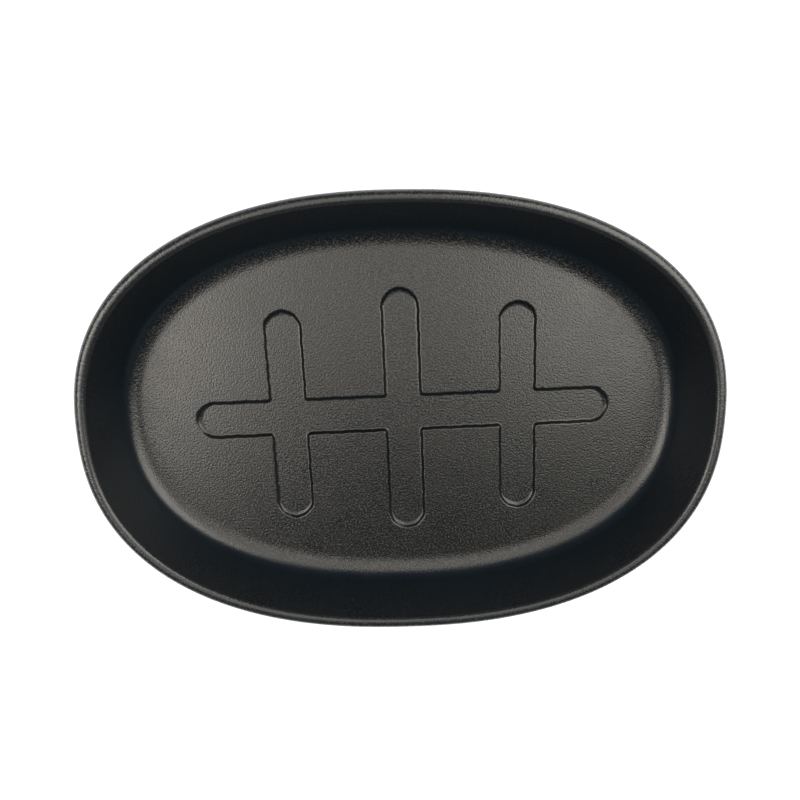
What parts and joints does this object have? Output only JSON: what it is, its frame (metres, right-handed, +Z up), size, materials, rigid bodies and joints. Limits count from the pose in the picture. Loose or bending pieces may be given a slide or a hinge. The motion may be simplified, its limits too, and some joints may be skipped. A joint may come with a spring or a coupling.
{
  "type": "sizzling plate",
  "caption": "Oval black cast-iron sizzling plate: a shallow dish with a flared wall, a rounded rim and crossed channels sunk in its flat floor, for serving hot steak.",
  "frame": {"origin": "middle of the flat base, on the surface that the plate stands on", "axes": "+X along the plate's length, +Y across it, +Z up out of the dish"},
  "size_m": [0.26, 0.18, 0.031],
  "materials": {
    "black_iron": "black seasoned casting with a fine sand grain, satin sheen on the floor and the rim"
  },
  "bodies": {
    "root": {"plate_casting": "black_iron"}
  },
  "joints": []
}
